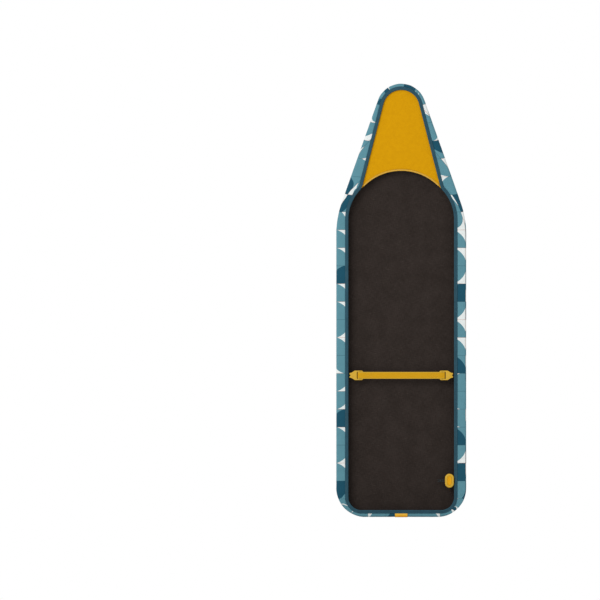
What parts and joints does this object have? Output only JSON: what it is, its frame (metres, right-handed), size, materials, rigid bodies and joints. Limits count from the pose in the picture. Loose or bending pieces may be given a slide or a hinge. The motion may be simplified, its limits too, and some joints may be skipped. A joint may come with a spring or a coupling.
{
  "type": "ironing board cover",
  "caption": "Fitted ironing board cover of printed cotton over a foam and felt pad, with an elastic draw cord and lock, a nose pocket and a hooked webbing strap.",
  "frame": {"origin": "middle of the felt face that lies on the board, halfway along and across the cover", "axes": "+Z towards the nose, +Y out of the ironing face, -Y out of the underside with the hem, strap and cord lock, +X to the right of someone who looks at the underside"},
  "size_m": [0.38, 0.0424, 1.2711],
  "materials": {
    "cotton": "printed cotton, matt",
    "foam": "open cell foam, matt",
    "felt": "needled felt, matt",
    "teal_tape": "woven bias tape, matt",
    "elastic": "braided elastic cord",
    "pocket_cloth": "plain woven cloth, matt",
    "pale_tape": "woven tape, matt",
    "tag_ribbon": "satin ribbon",
    "webbing": "woven webbing",
    "hook_plastic": "moulded, satin",
    "button_plastic": "moulded, satin",
    "spring_steel": "drawn wire"
  },
  "bodies": {
    "cover": {"cover_cloth": "cotton", "foam_pad": "foam", "felt_backing": "felt", "hem_binding": "teal_tape", "draw_cord": "elastic", "cord_knot": "elastic", "nose_pocket": "pocket_cloth", "pocket_mouth_tape": "pale_tape", "end_tag": "tag_ribbon", "hook_loop_left": "elastic", "hook_loop_right": "elastic"},
    "strap": {"strap_webbing": "webbing"},
    "hook_left": {"slide_hook_left": "hook_plastic"},
    "hook_right": {"slide_hook_right": "hook_plastic"},
    "cord_lock": {"lock_back_shell": "hook_plastic", "lock_front_shell": "hook_plastic", "lock_spring_upper": "spring_steel", "lock_spring_lower": "spring_steel"},
    "button": {"lock_button": "button_plastic"}
  },
  "joints": [
    {"name": "strap_lift", "type": "slide", "parent": "cover", "child": "strap", "axis": [0, -1, 0], "range_m": [0, 0.06]},
    {"name": "hook_left_swing", "type": "hinge", "parent": "strap", "child": "hook_left", "pos_m": [-0.125, -0.023, -0.22], "axis": [0, 0, 1], "range_deg": [0, 60]},
    {"name": "hook_right_swing", "type": "hinge", "parent": "strap", "child": "hook_right", "pos_m": [0.125, -0.023, -0.22], "axis": [0, 0, -1], "range_deg": [0, 60]},
    {"name": "lock_slide", "type": "slide", "parent": "cover", "child": "cord_lock", "axis": [-1, 0, 0], "range_m": [0, 0.009]},
    {"name": "button_press", "type": "slide", "parent": "cord_lock", "child": "button", "axis": [0, 1, 0], "range_m": [0, 0.0025], "stiffness_N_per_m": 600, "springref_m": -0.002, "deforming": ["lock_spring_upper", "lock_spring_lower"]}
  ]
}
